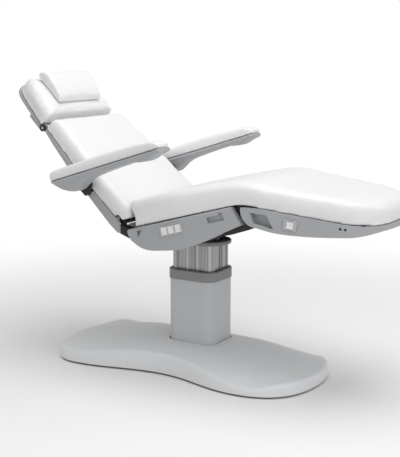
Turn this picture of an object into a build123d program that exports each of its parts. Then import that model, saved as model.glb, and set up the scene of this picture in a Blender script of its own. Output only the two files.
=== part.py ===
from build123d import *
from math import cos, radians, sin
import os

os.makedirs("parts", exist_ok=True)

# Electric beauty chair. Millimetres, +Z up, +X to the foot end, -Y is the side with the keys.
# The origin is on the floor, at the middle of the chair's length and width.

# Shared clearances
overrun = 2.0  # how far a cut runs past the face that it opens
soft_gap = 0.3  # between a cushion and the board or cover that it rests on
pin_fit = 0.05  # between a pin and the hole that it turns in
plate_gap = 1.0  # between two plates that turn side by side
cover_gap = 1.5  # between a cover and a piece that moves past it


# Base: a waisted floor cover over a steel plate on rubber feet
column_x = -17.0  # the column's axis, from the middle of the chair
base_length = 1110.0
base_half_width = 264.0
base_height = 118.0  # top of the ridge, above the cover's lower edge
base_lift = 8.0  # lower edge of the cover, above the floor
base_wall = 4.0
base_edge_round = 16.0
foot_radius = 24.0
foot_stud_radius = 5.0
foot_cup = 2.0
base_plate_thick = 12.0
base_plate_gap = 2.0

# Plan of the cover's edge: shares of its length (from the column) and of its half width,
# each with the direction of the edge there
base_outline_share = [
    ((-0.5400, 0.15), (0, 1)), ((-0.4050, 0.965), (1, 0)), ((-0.0595, 0.742), (1, 0)),
    ((0.2620, 1.0), (1, 0)), ((0.4760, 0.0), (0, -1)),
]
# Cross sections: place along the length, ridge height, then place across and height of the
# soft crest, of the skirt's top edge and of the outer end of the section
base_section_share = [
    (-0.550, 0.40, 0.60, 0.38, 0.95, 0.33, 0.31),
    (-0.432, 0.62, 0.63, 0.55, 0.95, 0.42, 0.38),
    (-0.315, 0.80, 0.62, 0.70, 0.88, 0.53, 0.44),
    (-0.180, 0.95, 0.57, 0.80, 0.78, 0.66, 0.50),
    (-0.054, 1.00, 0.50, 0.86, 0.74, 0.67, 0.46),
    (0.072, 0.99, 0.55, 0.82, 0.81, 0.62, 0.44),
    (0.171, 0.85, 0.68, 0.68, 0.91, 0.50, 0.38),
    (0.261, 0.66, 0.78, 0.51, 0.98, 0.30, 0.24),
    (0.360, 0.50, 0.78, 0.40, 0.98, 0.22, 0.18),
    (0.480, 0.36, 0.68, 0.31, 0.95, 0.20, 0.17),
]
base_section_end_share = 1.06  # outer end of a section, of the base's half width


def placed(shares, length, height):
    """Outline points from pairs of shares: x = share * length, y = share * height."""
    return [(along * length, up * height) for along, up in shares]


def side_plane(x, z, slope, y=0):
    """Side view through (x, y, z): local x rises to the foot end at slope degrees, local y is up."""
    along = (cos(radians(slope)), 0, sin(radians(slope)))
    return Plane(origin=(x, y, z), x_dir=along, z_dir=(0, -1, 0))


def head_plane(x, z, slope, y=0):
    """Side view through (x, y, z): local x rises to the head end at slope degrees, local y is up."""
    along = (-cos(radians(slope)), 0, sin(radians(slope)))
    return Plane(origin=(x, y, z), x_dir=along, z_dir=(0, 1, 0))


def top_plane(side, along=0, up=0):
    """Plan view of a side view plane: local x is the same, local z is its y."""
    origin = side.from_local_coords((along, up, 0))
    return Plane(origin=origin, x_dir=side.x_dir, z_dir=side.y_dir)


def cross_plane(side, along, up=0):
    """Cross section of a side view plane at a place along it: local x is +Y, local y is up."""
    origin = side.from_local_coords((along, up, 0))
    return Plane(origin=origin, x_dir=(0, 1, 0), z_dir=Vector(0, 1, 0).cross(side.y_dir))


def point_on(side, along, up):
    """World x and z of a point given on a side view plane."""
    place = side.from_local_coords((along, up, 0))
    return place.X, place.Z


def base_plan(inset):
    """Plan outline of the base cover about the column, drawn in by inset."""
    ways = [way for place, way in base_outline_share]
    places = placed([place for place, way in base_outline_share], base_length, base_half_width)
    edge = [
        (along + inset * way[1], across - inset * way[0])
        for (along, across), way in zip(places, ways)
    ]
    with BuildSketch(mode=Mode.PRIVATE) as plan:
        with BuildLine():
            Line((edge[0][0], 0), edge[0])
            for start, end, way_in, way_out in zip(edge, edge[1:], ways, ways[1:]):
                Spline(start, end, tangents=[way_in, way_out])
            Line(edge[-1], (edge[0][0], 0))
        make_face()
        mirror(about=Plane.XZ)
    return plan.sketch


def base_form():
    """The volume under the base cover's top: cross sections lofted, then cut to the plan."""
    with BuildPart(mode=Mode.PRIVATE) as crown:
        for along, ridge, crest_y, crest, edge_y, edge, end in base_section_share:
            place = (column_x + along * base_length, 0, base_lift)
            heights = [(base_section_end_share, end), (edge_y, edge), (crest_y, crest)]
            right = placed(heights, base_half_width, base_height)
            left = [(-across, up) for across, up in reversed(right)]
            foot_y = base_section_end_share * base_half_width
            with BuildSketch(Plane(origin=place, x_dir=(0, 1, 0), z_dir=(1, 0, 0))):
                with BuildLine():
                    Spline(*right, (0, ridge * base_height), *left)
                    Polyline(left[-1], (-foot_y, -overrun), (foot_y, -overrun), right[0])
                make_face()
        loft()
    with BuildPart(mode=Mode.PRIVATE) as form:
        with BuildSketch(Plane.XY.offset(base_lift)):
            with Locations((column_x, 0)):
                add(base_plan(0))
        extrude(amount=base_height + overrun)
        add(crown.part, mode=Mode.INTERSECT)
    return form.part


def box_profile(low, high, start, end):
    """A rectangle in a side view, from its limits along and up."""
    with Locations(((start + end) / 2, (low + high) / 2)):
        Rectangle(end - start, high - low)


def outline_face(points, grow):
    """A straight sided face through points, grown outwards by grow."""
    with BuildSketch(mode=Mode.PRIVATE) as shape:
        with BuildLine():
            Polyline(*points, close=True)
        make_face()
        if grow:
            offset(amount=grow, kind=Kind.INTERSECTION)
    return shape.sketch


def drawn_in(points, wall):
    """Outline points moved towards the outline's middle, by about wall on each side."""
    xs = [x for x, y in points]
    ys = [y for x, y in points]
    middle_x, middle_y = (min(xs) + max(xs)) / 2, (min(ys) + max(ys)) / 2
    keep_x = 1 - 2 * wall / (max(xs) - min(xs))
    keep_y = 1 - 2 * wall / (max(ys) - min(ys))
    return [(middle_x + (x - middle_x) * keep_x, middle_y + (y - middle_y) * keep_y) for x, y in points]


def pad(side, up, rows, length, half, thick, centre_y=0):
    """A cushion lofted along a side view: rows give shares of its length, half width and thickness.

    Each section has a flat underside, sides drawn in at the seam, round shoulders and a crown.
    """
    aside = Vector(0, centre_y, 0)
    with BuildPart(mode=Mode.PRIVATE) as cushion:
        for along, wide, high in rows:
            at = cross_plane(side, along * length, up)
            rise = high * thick
            seam, belly, shoulder, turn, top = [
                (wide * half + rise * out, rise * level) for out, level in pad_share
            ]
            with BuildSketch(Plane(origin=at.origin + aside, x_dir=at.x_dir, z_dir=at.z_dir)):
                with BuildLine():
                    ThreePointArc(seam, belly, shoulder)
                    ThreePointArc(shoulder, turn, top)
                    ThreePointArc(top, (0, rise), (-top[0], top[1]))
                    ThreePointArc((-top[0], top[1]), (-turn[0], turn[1]), (-shoulder[0], shoulder[1]))
                    ThreePointArc((-shoulder[0], shoulder[1]), (-belly[0], belly[1]), (-seam[0], seam[1]))
                    Line((-seam[0], seam[1]), seam)
                make_face()
        loft(ruled=True)
    return cushion.part


# A cushion's section in shares of its thickness: outwards from its half width, then height,
# at the seam, the belly, the shoulder, the shoulder's turn and the edge of the crown
pad_share = [(-0.02, 0.0), (0.04, 0.36), (0.0, 0.64), (-0.14, 0.89), (-0.50, 0.975)]


# Feet and base plate
foot_share = [(-0.42, 0.60), (-0.06, 0.46), (0.29, 0.66)]
foot_places = [
    (column_x + along * base_length, side * across * base_half_width)
    for along, across in foot_share for side in (-1, 1)
]
plate_top = base_lift + base_plate_thick
flange_length = 262.0
flange_width = 224.0
flange_corner = 30.0
flange_thick = 8.0
flange_bolt_x = 112.0
flange_bolt_y = 92.0
flange_bolt_radius = 5.0
flange_head_radius = 9.0
flange_head_height = 6.0

# Column
column_length = 214.0
column_width = 184.0
column_corner = 46.0
column_wall = 5.0
column_top = 372.0
collar_height = 40.0
collar_proud = 3.5
collar_round = 3.0
collar_lip = 6.0
guide_height = 60.0
inner_length = 190.0
inner_width = 155.0
inner_corner = 30.0
inner_wall = 6.0
inner_bottom = 110.0
inner_top = 515.0
groove_depth = 2.5
groove_length = 152.0
groove_width = 108.0
rib_place = 15.0
rib_width = 8.0
cap_thick = 16.0
cap_head_end = -125.0
cap_foot_end = 128.0
cap_half_width = 84.0
cap_round = 3.0
cap_dish = 5.0
cap_rim = 7.0
cap_hole_length = 40.0
cap_hole_width = 24.0

# Lift drive in the column
gear_length = 120.0
gear_width = 80.0
gear_height = 16.0
spindle_radius = 10.0
spindle_top = 340.0
spindle_x = -20.0
nut_height = 28.0
nut_length = 60.0

# Tilt: the seat turns on a pin over the cap, and a rod beside it lifts the seat
tilt_x = -59.0
tilt_z = 555.0
tilt_pin_radius = 9.0
tilt_boss_radius = 18.0
lug_inner = 22.0
lug_thick = 12.0
lug_foot = 22.0
saddle_thick = 10.0
rod_x = 76.0
rod_radius = 7.0
rod_eye_z = 590.0
rod_eye_radius = 12.0
rod_eye_half = 8.0
rod_pin_radius = 5.0
rod_bottom = 258.0
rod_slot = 4.8
rod_slot_gap = 0.8
rod_plate_thick = 7.0
tube_wall = 2.4
tube_bottom = 215.0
tube_top = 500.0
tube_foot = 44.0
tube_foot_width = 50.0

# Seat, measured along its own slope from the rear end of its seam
seat_x = -149.0
seat_z = 599.0
seat_slope = 15.3
seat_length = 470.0
seat_half = 288.0
seat_thick = 104.0
seat_pad_share = [
    (-0.15, 1.0, 1.0), (0.04, 1.0, 1.0), (0.45, 1.0, 1.0), (0.80, 1.0, 0.92), (1.0, 1.0, 0.85),
]
cover_inner = 256.3
cover_thick = seat_half - cover_inner
cover_drop = 116.0
cover_share = [
    (-0.018, -0.035), (-0.024, -0.16), (-0.006, -0.40), (0.026, -0.53), (0.136, -0.83), (0.257, -0.93),
    (0.379, -1.0), (0.553, -0.99), (0.817, -0.81), (1.036, -0.64), (0.973, -0.02),
]
cover_wall = 4.0
cover_round = 8.0
recess_depth = 12.0
rear_recess_share = [(0.070, -0.36), (0.126, -0.14), (0.070, -0.14)]
front_recess_share = [
    (0.749, -0.19), (0.860, -0.19), (0.877, -0.10), (0.902, -0.19), (0.902, -0.38), (0.749, -0.38),
]
rail_inner = 215.0
rail_outer = 246.0
rail_low = -36.0
rail_high = -6.0
rail_start = -14.0
rail_end = 488.0
cross_width = 30.0
cross_share = [0.02, 0.30, 0.62, 0.98]
saddle_plate_thick = 8.0
tray_half = 256.0
tray_sheet = 3.0
tray_share = [
    (0.03, -0.50), (0.14, -0.80), (0.26, -0.90), (0.38, -0.97), (0.55, -0.99),
    (0.80, -0.88), (0.90, -0.89), (1.06, -0.85), (1.128, -0.80),
]
tray_hole_start = -14.0
tray_hole_end = 292.0
tray_hole_half = 92.0

# Hinge of the back, measured on the seat's slope
back_along = -43.3
back_up = 33.6
back_raise = 15.0  # degrees from the photographed pose to the most upright one
hinge_boss = 16.0
hinge_pin_radius = 8.0
knee_boss = 9.0
knee_pin_radius = 5.5
bracket_inner = 246.0
bracket_thick = 10.0
rear_cover_outer = 276.0
rear_cover_share = [
    (-0.111, 0.15), (-0.094, 0.21), (-0.055, 0.07), (-0.028, -0.015), (-0.024, -0.28), (-0.016, -0.383),
    (-0.071, -0.235), (-0.117, -0.103),
]

wedge_start = -37.0
wedge_angle = 49.0  # degrees below the seat's slope that the wedge's top lies at, seen from the hinge
wedge_clear = 22.0

# Hinge of the leg rest, measured on the seat's slope
knee_along = 557.0
knee_up = -35.0
nose_radius = 60.0
trough_gap = 2.5
trough_start = -114.0
trough_end = -200.0
trough_half = 243.5
arm_inner = 246.0
arm_thick = 6.7

# Keys on the side
panel_start = 139.0
panel_end = 240.0
panel_low = -60.0
panel_high = -17.0
panel_proud = 4.0
panel_deep = 18.0
panel_round = 4.0
panel_lip = 2.0  # the bezel's edge past the block behind it
key_width = 26.0
key_height = 31.0
key_deep = 11.0
key_hollow_radius = 60.0
key_gap = 0.7
key_swing_gap = 1.8
key_pin_radius = 1.5
key_pin_reach = 1.5
key_pitch = 31.0
key_first = 158.5

# Back rest, measured up the back from its hinge
back_slope = 41.0
back_seam = -4.0
back_length = 515.0
back_half = 287.0
back_thick = 72.0
nose_ring = 68.0
nose_cut_share = [(-0.0183, 0.0), (-0.0965, 0.6445)]
back_pad_share = [
    (-0.16, 1.0, 1.0), (0.04, 1.0, 1.0), (0.42, 0.965, 1.0), (0.62, 0.923, 1.0), (0.86, 0.86, 1.0),
    (0.95, 0.833, 0.97), (0.985, 0.819, 0.86), (1.0, 0.80, 0.68),
]
groove_radius = 17.5
shell_row_share = [
    (0.045, 0.990, 0.62, 1.0), (0.23, 0.975, 0.54, 0.95), (0.42, 0.958, 0.44, 0.87),
    (0.62, 0.916, 0.37, 0.76), (0.86, 0.85, 0.26, 0.58), (1.0, 0.80, 0.19, 0.40),
]
shell_depth = 54.0
shell_wall = 3.5
shell_side_share = [
    (0.045, 0.0), (-0.018, 0.0), (-0.064, -0.48), (-0.045, -0.60), (0.045, -0.62),
]
shell_side_thick = 8.0
frame_rail_inner = 150.0
frame_rail_width = 30.0
frame_rail_thick = 11.0
frame_rail_end = 430.0
frame_gap = 1.0
hinge_tube_radius = 15.0

# Head rest, measured up its slope from its hinge
head_slope = 45.0
head_along = 538.0
head_up = -18.0
head_length = 238.0
head_seam = -1.0
head_half = 227.0
head_thick = 82.0
head_pad_share = [
    (-0.043, 0.985, 0.70), (-0.01, 1.0, 0.90), (0.20, 0.970, 1.0), (0.46, 0.930, 1.04), (0.70, 0.896, 1.02),
    (0.84, 0.84, 0.93), (0.94, 0.74, 0.74), (1.0, 0.60, 0.45),
]
head_plan_share = [
    (0.065, 0.975), (0.22, 0.95), (0.46, 0.915), (0.70, 0.88), (0.84, 0.82), (0.94, 0.71), (0.99, 0.50),
]
head_plate_thick = 9.0
head_boss = 14.0
head_pin_radius = 6.0
head_lug_inner = 212.0
head_lug_thick = 10.0
head_ear_thick = 11.0
head_relief = 19.0
pillow_half = 147.0
pillow_length = 168.0
pillow_thick = 44.0
pillow_along = 46.0
pillow_up = 84.5
pillow_round = 14.0
pillow_share = [
    (0.0, 0.10), (0.02, 0.28), (0.17, 0.64), (0.55, 0.98), (0.80, 0.97), (0.95, 0.68), (1.0, 0.30),
    (0.97, 0.06),
]

# Arm rests, measured along their own slope from their pivot
arm_slope = 17.3
arm_along = 189.0
arm_up = 18.7
arm_centre = 355.0
arm_half = 45.0
arm_length = 430.0
arm_seam = 46.5
arm_thick_pad = 43.0
arm_pad_share = [
    (-0.265, 0.62, 0.40), (-0.240, 0.92, 0.76), (-0.20, 1.0, 0.88), (0.0, 1.0, 0.93), (0.40, 1.0, 1.0),
    (0.68, 1.0, 0.92), (0.90, 1.0, 0.78), (0.968, 0.93, 0.56), (0.995, 0.74, 0.26),
]
arm_low_share = [
    (0.972, 0.60), (0.925, 0.40), (0.863, 0.22), (0.792, 0.22), (0.706, 0.45), (0.50, 0.41), (0.292, 0.36),
    (0.158, 0.15), (0.047, -0.17), (0.0, -0.34), (-0.076, -0.30), (-0.15, 0.0), (-0.214, 0.34),
    (-0.230, 0.81),
]
arm_pin_radius = 9.0
arm_pin_end = 15.0  # past the arm's middle
arm_plate_inner = 296.0
arm_plate_thick = 9.0
arm_plate_radius = 19.0
arm_foot_low = -24.0
arm_foot_start = 168.0
arm_foot_end = 206.0
arm_foot_inner = 180.0

# Leg rest, measured along its own slope from its hinge
leg_slope = -6.9
leg_length = 431.0
leg_half = 288.0
leg_seam = 10.0
leg_thick = 82.0
leg_pad_share = [
    (0.028, 0.998, 1.0), (0.243, 0.958, 1.0), (0.508, 0.893, 1.0), (0.668, 0.862, 1.0), (0.812, 0.79, 0.98),
    (0.905, 0.655, 0.90), (0.965, 0.48, 0.74), (1.0, 0.24, 0.42),
]
leg_plan_share = [
    (0.021, 1.0), (0.243, 0.960), (0.508, 0.892), (0.668, 0.862), (0.812, 0.79), (0.891, 0.663),
    (0.949, 0.486), (0.985, 0.25), (1.0, 0.0),
]
leg_low_share = [(0.175, -1.08), (0.340, -1.03), (0.50, -0.90), (0.706, -0.65), (0.90, -0.37), (1.0, -0.14)]
leg_pocket_share = [
    (0.17, -0.95), (0.34, -0.92), (0.50, -0.76), (0.70, -0.48), (0.88, -0.18), (0.88, 0.25), (0.17, 0.25),
]
leg_relief_half = 257.5
leg_relief_end = -28.0
leg_relief_reach = 90.0
leg_slot_radius = 67.0
leg_slot_inner = 244.0
leg_rail_inner = 170.0
leg_rail_width = 24.0
leg_rail_low = -12.0
leg_rail_high = 6.0
leg_rail_end = 358.0
grip_share = [(-0.046, -0.17), (0.105, -0.10), (0.178, -0.86), (-0.006, -0.76)]
grip_depth = 24.0
leg_panel_along = 135.0
leg_panel_up = -26.0
leg_panel_reach = 272.0  # out from the middle of the leg rest
leg_panel_length = 50.0
leg_panel_height = 38.0
leg_panel_turn = 9.7  # degrees that the tapering side turns the panel by
leg_key_height = 26.0
leg_hole_share = [(0.722, -0.10), (0.760, -0.10)]
leg_hole_radius = 5.0

# Small places among the pieces above
knee_rise = 5.0
arc_mid = 45.0
leg_end_rise = 0.2
leg_hole_reach = 68.0
frame_cross_share = [0.08, 0.36, 0.64, 0.93]
arm_start_share = -0.232
arm_end_share = 0.975
head_ear_end = 84.0
nose_cut_angle = 24.0
head_lug_start = 392.0
shell_pocket_share = [(0.03, 0.0), (0.03, -0.72), (0.12, -0.76), (0.86, -0.36), (0.86, 0.0)]

# Small parts
control_box_start = 288.0
control_box_end = 476.0
control_box_width = 90.0
control_box_height = 34.0
inlet_width = 48.0
inlet_height = 22.0
inlet_proud = 2.0
inlet_deep = 22.0
inlet_wall = 3.0
inlet_up = 38.0


# Side view planes of the moving parts
seat_side = side_plane(column_x + seat_x, seat_z, seat_slope)
back_x, back_z = point_on(seat_side, back_along, back_up)
back_side = head_plane(back_x, back_z, back_slope)
knee_x, knee_z = point_on(seat_side, knee_along, knee_up)
leg_side = side_plane(knee_x, knee_z, leg_slope)
head_x, head_z = point_on(back_side, head_along, head_up)
head_side = head_plane(head_x, head_z, head_slope)
arm_x, arm_z = point_on(back_side, arm_along, arm_up)
arm_side = side_plane(arm_x, arm_z, arm_slope)


def save(piece, name):
    """Label a finished piece and write it under its name."""
    piece.part.label = name
    export_step(piece.part, "parts/" + name + ".step")


# Base cover
with BuildPart() as base_cover:
    add(base_form())
    fillet(base_cover.faces().sort_by(Axis.Z)[-1].edges(), base_edge_round)
    with BuildSketch(Plane.XY.offset(base_lift - overrun)):
        with Locations((column_x, 0)):
            add(base_plan(base_wall))
    extrude(amount=base_plate_thick + overrun, mode=Mode.SUBTRACT)
    with BuildSketch(Plane.XY.offset(plate_top - overrun)):
        with Locations((column_x, 0)):
            RectangleRounded(flange_length + overrun, flange_width + overrun, flange_corner)
    extrude(amount=flange_thick + flange_head_height + overrun + cover_gap, mode=Mode.SUBTRACT)
    with BuildSketch(Plane.XY.offset(plate_top)):
        with Locations((column_x, 0)):
            RectangleRounded(column_length + 6 * cover_gap, column_width + 2 * cover_gap, column_corner)
    extrude(amount=base_height + overrun, mode=Mode.SUBTRACT)
    head_face = base_cover.faces().sort_by(Axis.X)[0].center()
    with BuildSketch(Plane(origin=(head_face.X, 0, inlet_up), x_dir=(0, 1, 0), z_dir=(1, 0, 0))):
        Rectangle(inlet_width, inlet_height)
    extrude(amount=inlet_deep, mode=Mode.SUBTRACT)
save(base_cover, "base_cover")

# Mains inlet in the head end of the base cover
with BuildPart() as mains_inlet:
    with BuildSketch(Plane(origin=(head_face.X, 0, inlet_up), x_dir=(0, 1, 0), z_dir=(1, 0, 0))):
        Rectangle(inlet_width, inlet_height)
    extrude(amount=inlet_deep)
    with BuildSketch(Plane(origin=(head_face.X, 0, inlet_up), x_dir=(0, 1, 0), z_dir=(-1, 0, 0))):
        RectangleRounded(inlet_width + inlet_wall, inlet_height + inlet_wall, inlet_wall)
    extrude(amount=inlet_proud)
    inlet_face = (head_face.X - inlet_proud, 0, inlet_up)
    with BuildSketch(Plane(origin=inlet_face, x_dir=(0, 1, 0), z_dir=(1, 0, 0))):
        Rectangle(inlet_width - 6 * inlet_wall, inlet_height - 2 * inlet_wall)
    extrude(amount=inlet_deep - inlet_wall, mode=Mode.SUBTRACT)
save(mains_inlet, "mains_inlet")

# Steel plate that the column stands on
with BuildPart() as base_plate:
    with BuildSketch(Plane.XY.offset(base_lift)):
        with Locations((column_x, 0)):
            add(base_plan(base_wall + base_plate_gap))
        with Locations(foot_places):
            Circle(foot_stud_radius, mode=Mode.SUBTRACT)
        with Locations((column_x, 0)):
            with GridLocations(2 * flange_bolt_x, 2 * flange_bolt_y, 2, 2):
                Circle(flange_bolt_radius, mode=Mode.SUBTRACT)
    extrude(amount=base_plate_thick)
save(base_plate, "base_plate")

# Rubber feet with the studs that hold them to the plate
with BuildPart() as foot_pads:
    with BuildSketch(Plane.XY):
        with Locations(foot_places):
            Circle(foot_radius)
    extrude(amount=base_lift)
    chamfer(foot_pads.edges().group_by(Axis.Z)[-1], foot_cup)
    with BuildSketch(Plane.XY.offset(foot_cup)):
        with Locations(foot_places):
            Circle(foot_stud_radius)
    extrude(amount=base_lift, mode=Mode.SUBTRACT)
save(foot_pads, "foot_pads")

with BuildPart() as foot_studs:
    with BuildSketch(Plane.XY.offset(foot_cup)):
        with Locations(foot_places):
            Circle(foot_stud_radius)
    extrude(amount=plate_top - foot_cup)
save(foot_studs, "foot_studs")

# Outer column: a painted tube on a bolted flange
with BuildPart() as column_outer:
    with BuildSketch(Plane.XY.offset(plate_top)):
        with Locations((column_x, 0)):
            RectangleRounded(flange_length, flange_width, flange_corner)
            with GridLocations(2 * flange_bolt_x, 2 * flange_bolt_y, 2, 2):
                Circle(flange_bolt_radius, mode=Mode.SUBTRACT)
    extrude(amount=flange_thick)
    with BuildSketch(Plane.XY.offset(plate_top)):
        with Locations((column_x, 0)):
            RectangleRounded(column_length, column_width, column_corner)
    extrude(amount=column_top - plate_top)
    with BuildSketch(Plane.XY.offset(plate_top)):
        with Locations((column_x, 0)):
            RectangleRounded(
                column_length - 2 * column_wall, column_width - 2 * column_wall, column_corner - column_wall
            )
    extrude(amount=column_top - plate_top, mode=Mode.SUBTRACT)
save(column_outer, "column_outer")

# Flange bolts
with BuildPart() as column_bolts:
    with BuildSketch(Plane.XY.offset(base_lift + flange_thick)):
        with Locations((column_x, 0)):
            with GridLocations(2 * flange_bolt_x, 2 * flange_bolt_y, 2, 2):
                Circle(flange_bolt_radius)
    extrude(amount=plate_top - base_lift)
    with BuildSketch(Plane.XY.offset(plate_top + flange_thick)):
        with Locations((column_x, 0)):
            with GridLocations(2 * flange_bolt_x, 2 * flange_bolt_y, 2, 2):
                RegularPolygon(flange_head_radius, side_count=6)
    extrude(amount=flange_head_height)
save(column_bolts, "column_bolts")

# Collar that closes the top of the outer column
with BuildPart() as column_collar:
    with BuildSketch(Plane.XY.offset(column_top)):
        with Locations((column_x, 0)):
            RectangleRounded(
                column_length + 2 * collar_proud,
                column_width + 2 * collar_proud,
                column_corner + collar_proud,
            )
    extrude(amount=collar_height)
    chamfer(column_collar.edges().group_by(Axis.Z)[-1], collar_round)
    with BuildSketch(Plane.XY.offset(column_top)):
        with Locations((column_x, 0)):
            RectangleRounded(
                column_length - 2 * column_wall, column_width - 2 * column_wall, column_corner - column_wall
            )
    extrude(amount=collar_height - collar_lip, mode=Mode.SUBTRACT)
    with BuildSketch(Plane.XY.offset(column_top)):
        with Locations((column_x, 0)):
            RectangleRounded(
                inner_length + 2 * cover_gap, inner_width + 2 * cover_gap, inner_corner + cover_gap
            )
    extrude(amount=collar_height, mode=Mode.SUBTRACT)
save(column_collar, "column_collar")

# Plastic guide between the two tubes, under the collar's lip
with BuildPart() as column_guide:
    with BuildSketch(Plane.XY.offset(column_top - guide_height)):
        with Locations((column_x, 0)):
            RectangleRounded(
                column_length - 2 * column_wall, column_width - 2 * column_wall, column_corner - column_wall
            )
            RectangleRounded(
                inner_length + 2 * soft_gap,
                inner_width + 2 * soft_gap,
                inner_corner + soft_gap,
                mode=Mode.SUBTRACT,
            )
    extrude(amount=guide_height + collar_height - collar_lip)
save(column_guide, "column_guide")

# Lift drive: flat gear housing on the plate, with its spindle
with BuildPart() as lift_gear:
    with BuildSketch(Plane.XY.offset(plate_top)):
        with Locations((column_x, 0)):
            RectangleRounded(gear_length, gear_width, flange_bolt_radius)
    extrude(amount=gear_height)
    chamfer(lift_gear.edges().group_by(Axis.Z)[-1], foot_cup)
save(lift_gear, "lift_gear")

with BuildPart() as lift_spindle:
    with BuildSketch(Plane.XY.offset(plate_top + gear_height)):
        with Locations((column_x + spindle_x, 0)):
            Circle(spindle_radius)
    extrude(amount=spindle_top - plate_top - gear_height)
    chamfer(lift_spindle.edges().group_by(Axis.Z)[-1], foot_cup)
save(lift_spindle, "lift_spindle")


# Inner column: an aluminium section with flutes on every face
with BuildPart() as column_inner:
    with BuildSketch(Plane.XY.offset(inner_bottom)):
        with Locations((column_x, 0)):
            RectangleRounded(inner_length, inner_width, inner_corner)
        with Locations((column_x, inner_width / 2), (column_x, -inner_width / 2)):
            Rectangle(groove_length - inner_corner, 2 * groove_depth, mode=Mode.SUBTRACT)
        with Locations((column_x + inner_length / 2, 0), (column_x - inner_length / 2, 0)):
            Rectangle(2 * groove_depth, groove_width - rib_place, mode=Mode.SUBTRACT)
        with Locations((column_x, 0)):
            with GridLocations(2 * rib_place, inner_width - groove_depth, 2, 2):
                Rectangle(rib_width, groove_depth)
            with GridLocations(inner_length - groove_depth, rib_place, 2, 2):
                Rectangle(groove_depth, rib_width)
            RectangleRounded(
                inner_length - 2 * inner_wall, inner_width - 2 * inner_wall, inner_corner - inner_wall,
                mode=Mode.SUBTRACT,
            )
    extrude(amount=inner_top - inner_bottom)
save(column_inner, "column_inner")

# Nut of the lift spindle, across the foot of the inner column
with BuildPart() as lift_nut:
    with BuildSketch(Plane.XY.offset(inner_bottom)):
        with Locations((column_x + spindle_x, 0)):
            Rectangle(nut_length, inner_width - 2 * inner_wall)
            Circle(spindle_radius + pin_fit, mode=Mode.SUBTRACT)
    extrude(amount=nut_height)
save(lift_nut, "lift_nut")

# Cap on the inner column, dished, with the rod's oval hole at its foot end
cap_middle = (cap_head_end + cap_foot_end) / 2
cap_length = cap_foot_end - cap_head_end
with BuildPart() as column_cap:
    with BuildSketch(Plane.XY.offset(inner_top)):
        with Locations((column_x + cap_middle, 0)):
            RectangleRounded(cap_length, 2 * cap_half_width, cap_half_width - cap_round)
    extrude(amount=cap_thick)
    chamfer(column_cap.edges().group_by(Axis.Z)[-1], cap_round)
    chamfer(column_cap.edges().group_by(Axis.Z)[0], cap_round)
    with BuildSketch(Plane.XY.offset(inner_top + cap_thick)):
        with Locations((column_x + cap_middle, 0)):
            RectangleRounded(
                cap_length - 2 * cap_rim, 2 * (cap_half_width - cap_rim), cap_half_width - cap_rim - cap_round
            )
    extrude(amount=-cap_dish, mode=Mode.SUBTRACT)
    with BuildSketch(Plane.XY.offset(inner_top)):
        with Locations((column_x + rod_x, 0)):
            SlotOverall(cap_hole_length, cap_hole_width)
    extrude(amount=cap_thick, mode=Mode.SUBTRACT)
save(column_cap, "column_cap")

# Bracket on the cap that carries the tilt pin: a foot and two lugs
cap_top = inner_top + cap_thick - cap_dish
with BuildPart() as tilt_bracket:
    with BuildSketch(Plane.XY.offset(cap_top)):
        with Locations((column_x + tilt_x, 0)):
            Rectangle(2 * lug_foot, 2 * (lug_inner + lug_thick))
    extrude(amount=cap_round)
    for side in (-1, 1):
        middle = side * (lug_inner + lug_thick / 2)
        with BuildSketch(side_plane(column_x + tilt_x, tilt_z, 0, middle)):
            Circle(tilt_boss_radius)
            with BuildLine():
                Polyline(
                    (-lug_foot, cap_top - tilt_z), (lug_foot, cap_top - tilt_z), (tilt_boss_radius, 0),
                    (-tilt_boss_radius, 0), close=True,
                )
            make_face()
            Circle(tilt_pin_radius + pin_fit, mode=Mode.SUBTRACT)
        extrude(amount=lug_thick / 2, both=True)
save(tilt_bracket, "tilt_bracket")

# Tilt actuator: a slim tube beside the spindle with its motor at the foot
with BuildPart() as tilt_actuator:
    with BuildSketch(Plane.XY.offset(tube_bottom)):
        with Locations((column_x + rod_x, 0)):
            Circle(rod_radius + tube_wall)
    extrude(amount=tube_top - tube_bottom)
    with BuildSketch(Plane.XY.offset(tube_bottom)):
        with Locations((column_x + rod_x + rod_radius + tube_wall - tube_foot / 2, 0)):
            RectangleRounded(tube_foot, tube_foot_width, rod_radius)
    extrude(amount=tube_foot)
    with BuildSketch(Plane.XY.offset(tube_bottom + tube_wall)):
        with Locations((column_x + rod_x, 0)):
            Circle(rod_radius + pin_fit)
    extrude(amount=tube_top - tube_bottom, mode=Mode.SUBTRACT)
save(tilt_actuator, "tilt_actuator")

# Tilt rod with its eye
with BuildPart() as tilt_rod:
    with BuildSketch(Plane.XY.offset(rod_bottom)):
        with Locations((column_x + rod_x, 0)):
            Circle(rod_radius)
    extrude(amount=rod_eye_z - rod_bottom)
    with BuildSketch(side_plane(column_x + rod_x, rod_eye_z, 0)):
        Circle(rod_eye_radius)
    extrude(amount=rod_eye_half, both=True)
    with BuildSketch(side_plane(column_x + rod_x, rod_eye_z, 0)):
        Circle(rod_pin_radius)
    extrude(amount=rod_eye_half + plate_gap + rod_plate_thick + plate_gap, both=True)
save(tilt_rod, "tilt_rod")


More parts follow.
